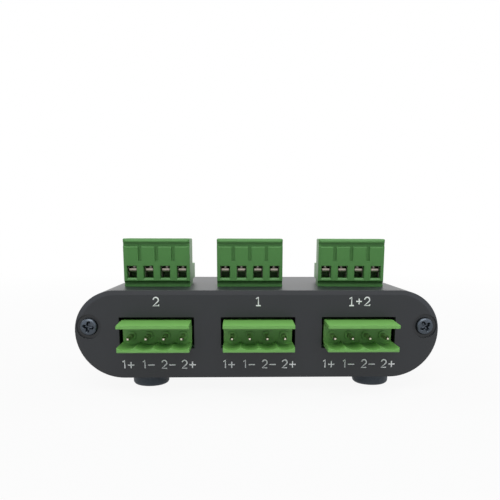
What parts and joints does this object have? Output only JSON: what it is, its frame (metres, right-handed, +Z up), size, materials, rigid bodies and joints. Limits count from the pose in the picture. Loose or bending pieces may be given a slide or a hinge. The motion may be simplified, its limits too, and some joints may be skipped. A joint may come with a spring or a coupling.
{
  "type": "speaker selector switch",
  "caption": "Small black metal selector box with push buttons in front, and green pin headers at the rear with their unplugged terminal blocks standing on top.",
  "frame": {"origin": "under the middle of the case, on the surface that the feet stand on", "axes": "+X to the right as seen from the front, +Y to the rear, where the headers are, +Z up"},
  "size_m": [0.107, 0.068, 0.0449],
  "materials": {
    "black_anodised": "matte black anodised",
    "black_screw": "black oxide steel",
    "foot_rubber": "moulded black rubber",
    "ivory_cap": "satin moulded ABS",
    "switch_body": "moulded PBT",
    "slider_white": "moulded acetal",
    "spring_steel": "drawn wire",
    "silvered_bronze": "silver plated",
    "tinned_brass": "tin plated",
    "fibreglass_board": "solder resist",
    "header_green": "satin moulded PA66",
    "plug_green": "satin moulded PA66",
    "zinc_steel": "zinc plated",
    "print_ink": "screen printed epoxy ink"
  },
  "bodies": {
    "case": {"case_shell": "black_anodised", "front_panel": "black_anodised", "rear_panel": "black_anodised", "front_panel_screws": "black_screw", "rear_panel_screws": "black_screw", "foot_front_left": "foot_rubber", "foot_front_right": "foot_rubber", "foot_rear_left": "foot_rubber", "foot_rear_right": "foot_rubber", "circuit_board": "fibreglass_board", "switch_housing_a": "switch_body", "return_spring_a": "spring_steel", "latch_pin_a": "spring_steel", "switch_terminals_a": "silvered_bronze", "switch_housing_b": "switch_body", "return_spring_b": "spring_steel", "latch_pin_b": "spring_steel", "switch_terminals_b": "silvered_bronze", "header_housing_b": "header_green", "header_pins_b": "tinned_brass", "header_housing_a": "header_green", "header_pins_a": "tinned_brass", "header_housing_io": "header_green", "header_pins_io": "tinned_brass"},
    "button_a": {"button_cap_a": "ivory_cap", "switch_plunger_a": "slider_white", "moving_contacts_a": "silvered_bronze"},
    "button_b": {"button_cap_b": "ivory_cap", "switch_plunger_b": "slider_white", "moving_contacts_b": "silvered_bronze"},
    "plug_b": {"plug_housing_b": "plug_green", "plug_contacts_b": "tinned_brass"},
    "cage_b_1": {"clamp_cage_b_1": "zinc_steel"},
    "screw_b_1": {"clamp_screw_b_1": "zinc_steel"},
    "cage_b_2": {"clamp_cage_b_2": "zinc_steel"},
    "screw_b_2": {"clamp_screw_b_2": "zinc_steel"},
    "cage_b_3": {"clamp_cage_b_3": "zinc_steel"},
    "screw_b_3": {"clamp_screw_b_3": "zinc_steel"},
    "cage_b_4": {"clamp_cage_b_4": "zinc_steel"},
    "screw_b_4": {"clamp_screw_b_4": "zinc_steel"},
    "plug_a": {"plug_housing_a": "plug_green", "plug_contacts_a": "tinned_brass"},
    "cage_a_1": {"clamp_cage_a_1": "zinc_steel"},
    "screw_a_1": {"clamp_screw_a_1": "zinc_steel"},
    "cage_a_2": {"clamp_cage_a_2": "zinc_steel"},
    "screw_a_2": {"clamp_screw_a_2": "zinc_steel"},
    "cage_a_3": {"clamp_cage_a_3": "zinc_steel"},
    "screw_a_3": {"clamp_screw_a_3": "zinc_steel"},
    "cage_a_4": {"clamp_cage_a_4": "zinc_steel"},
    "screw_a_4": {"clamp_screw_a_4": "zinc_steel"},
    "plug_io": {"plug_housing_io": "plug_green", "plug_contacts_io": "tinned_brass"},
    "cage_io_1": {"clamp_cage_io_1": "zinc_steel"},
    "screw_io_1": {"clamp_screw_io_1": "zinc_steel"},
    "cage_io_2": {"clamp_cage_io_2": "zinc_steel"},
    "screw_io_2": {"clamp_screw_io_2": "zinc_steel"},
    "cage_io_3": {"clamp_cage_io_3": "zinc_steel"},
    "screw_io_3": {"clamp_screw_io_3": "zinc_steel"},
    "cage_io_4": {"clamp_cage_io_4": "zinc_steel"},
    "screw_io_4": {"clamp_screw_io_4": "zinc_steel"}
  },
  "joints": [
    {"name": "button_a_press", "type": "slide", "parent": "case", "child": "button_a", "axis": [0, 1, 0], "range_m": [0, 0.0032], "stiffness_N_per_m": 450, "springref_m": -0.0025, "deforming": ["return_spring_a"]},
    {"name": "button_b_press", "type": "slide", "parent": "case", "child": "button_b", "axis": [0, 1, 0], "range_m": [0, 0.0032], "stiffness_N_per_m": 450, "springref_m": -0.0025, "deforming": ["return_spring_b"]},
    {"name": "plug_b_lift", "type": "slide", "parent": "case", "child": "plug_b", "axis": [0, 0, 1], "range_m": [0, 0.03]},
    {"name": "clamp_screw_b_1_turn", "type": "hinge", "parent": "plug_b", "child": "screw_b_1", "pos_m": [0.02318, 0.0099, 0.0422], "axis": [0, 0, -1], "range_deg": [0, 1440]},
    {"name": "clamp_cage_b_1_rise", "type": "slide", "parent": "plug_b", "child": "cage_b_1", "axis": [0, 0, 1], "range_m": [0, 0.0018]},
    {"name": "clamp_screw_b_2_turn", "type": "hinge", "parent": "plug_b", "child": "screw_b_2", "pos_m": [0.02826, 0.0099, 0.0422], "axis": [0, 0, -1], "range_deg": [0, 1440]},
    {"name": "clamp_cage_b_2_rise", "type": "slide", "parent": "plug_b", "child": "cage_b_2", "axis": [0, 0, 1], "range_m": [0, 0.0018]},
    {"name": "clamp_screw_b_3_turn", "type": "hinge", "parent": "plug_b", "child": "screw_b_3", "pos_m": [0.03334, 0.0099, 0.0422], "axis": [0, 0, -1], "range_deg": [0, 1440]},
    {"name": "clamp_cage_b_3_rise", "type": "slide", "parent": "plug_b", "child": "cage_b_3", "axis": [0, 0, 1], "range_m": [0, 0.0018]},
    {"name": "clamp_screw_b_4_turn", "type": "hinge", "parent": "plug_b", "child": "screw_b_4", "pos_m": [0.03842, 0.0099, 0.0422], "axis": [0, 0, -1], "range_deg": [0, 1440]},
    {"name": "clamp_cage_b_4_rise", "type": "slide", "parent": "plug_b", "child": "cage_b_4", "axis": [0, 0, 1], "range_m": [0, 0.0018]},
    {"name": "plug_a_lift", "type": "slide", "parent": "case", "child": "plug_a", "axis": [0, 0, 1], "range_m": [0, 0.03]},
    {"name": "clamp_screw_a_1_turn", "type": "hinge", "parent": "plug_a", "child": "screw_a_1", "pos_m": [-0.00537, 0.0099, 0.0422], "axis": [0, 0, -1], "range_deg": [0, 1440]},
    {"name": "clamp_cage_a_1_rise", "type": "slide", "parent": "plug_a", "child": "cage_a_1", "axis": [0, 0, 1], "range_m": [0, 0.0018]},
    {"name": "clamp_screw_a_2_turn", "type": "hinge", "parent": "plug_a", "child": "screw_a_2", "pos_m": [-0.00029, 0.0099, 0.0422], "axis": [0, 0, -1], "range_deg": [0, 1440]},
    {"name": "clamp_cage_a_2_rise", "type": "slide", "parent": "plug_a", "child": "cage_a_2", "axis": [0, 0, 1], "range_m": [0, 0.0018]},
    {"name": "clamp_screw_a_3_turn", "type": "hinge", "parent": "plug_a", "child": "screw_a_3", "pos_m": [0.00479, 0.0099, 0.0422], "axis": [0, 0, -1], "range_deg": [0, 1440]},
    {"name": "clamp_cage_a_3_rise", "type": "slide", "parent": "plug_a", "child": "cage_a_3", "axis": [0, 0, 1], "range_m": [0, 0.0018]},
    {"name": "clamp_screw_a_4_turn", "type": "hinge", "parent": "plug_a", "child": "screw_a_4", "pos_m": [0.00987, 0.0099, 0.0422], "axis": [0, 0, -1], "range_deg": [0, 1440]},
    {"name": "clamp_cage_a_4_rise", "type": "slide", "parent": "plug_a", "child": "cage_a_4", "axis": [0, 0, 1], "range_m": [0, 0.0018]},
    {"name": "plug_io_lift", "type": "slide", "parent": "case", "child": "plug_io", "axis": [0, 0, 1], "range_m": [0, 0.03]},
    {"name": "clamp_screw_io_1_turn", "type": "hinge", "parent": "plug_io", "child": "screw_io_1", "pos_m": [-0.03705, 0.01042, 0.0422], "axis": [0, 0, -1], "range_deg": [0, 1440]},
    {"name": "clamp_cage_io_1_rise", "type": "slide", "parent": "plug_io", "child": "cage_io_1", "axis": [0, 0, 1], "range_m": [0, 0.0018]},
    {"name": "clamp_screw_io_2_turn", "type": "hinge", "parent": "plug_io", "child": "screw_io_2", "pos_m": [-0.03198, 0.01006, 0.0422], "axis": [0, 0, -1], "range_deg": [0, 1440]},
    {"name": "clamp_cage_io_2_rise", "type": "slide", "parent": "plug_io", "child": "cage_io_2", "axis": [0, 0, 1], "range_m": [0, 0.0018]},
    {"name": "clamp_screw_io_3_turn", "type": "hinge", "parent": "plug_io", "child": "screw_io_3", "pos_m": [-0.02691, 0.00971, 0.0422], "axis": [0, 0, -1], "range_deg": [0, 1440]},
    {"name": "clamp_cage_io_3_rise", "type": "slide", "parent": "plug_io", "child": "cage_io_3", "axis": [0, 0, 1], "range_m": [0, 0.0018]},
    {"name": "clamp_screw_io_4_turn", "type": "hinge", "parent": "plug_io", "child": "screw_io_4", "pos_m": [-0.02184, 0.00936, 0.0422], "axis": [0, 0, -1], "range_deg": [0, 1440]},
    {"name": "clamp_cage_io_4_rise", "type": "slide", "parent": "plug_io", "child": "cage_io_4", "axis": [0, 0, 1], "range_m": [0, 0.0018]}
  ],
  "couplings": [
    {"joint": "clamp_screw_b_1_turn", "follows": "clamp_cage_b_1_rise", "rad_per_m": 13963},
    {"joint": "clamp_screw_b_2_turn", "follows": "clamp_cage_b_2_rise", "rad_per_m": 13963},
    {"joint": "clamp_screw_b_3_turn", "follows": "clamp_cage_b_3_rise", "rad_per_m": 13963},
    {"joint": "clamp_screw_b_4_turn", "follows": "clamp_cage_b_4_rise", "rad_per_m": 13963},
    {"joint": "clamp_screw_a_1_turn", "follows": "clamp_cage_a_1_rise", "rad_per_m": 13963},
    {"joint": "clamp_screw_a_2_turn", "follows": "clamp_cage_a_2_rise", "rad_per_m": 13963},
    {"joint": "clamp_screw_a_3_turn", "follows": "clamp_cage_a_3_rise", "rad_per_m": 13963},
    {"joint": "clamp_screw_a_4_turn", "follows": "clamp_cage_a_4_rise", "rad_per_m": 13963},
    {"joint": "clamp_screw_io_1_turn", "follows": "clamp_cage_io_1_rise", "rad_per_m": 13963},
    {"joint": "clamp_screw_io_2_turn", "follows": "clamp_cage_io_2_rise", "rad_per_m": 13963},
    {"joint": "clamp_screw_io_3_turn", "follows": "clamp_cage_io_3_rise", "rad_per_m": 13963},
    {"joint": "clamp_screw_io_4_turn", "follows": "clamp_cage_io_4_rise", "rad_per_m": 13963}
  ]
}
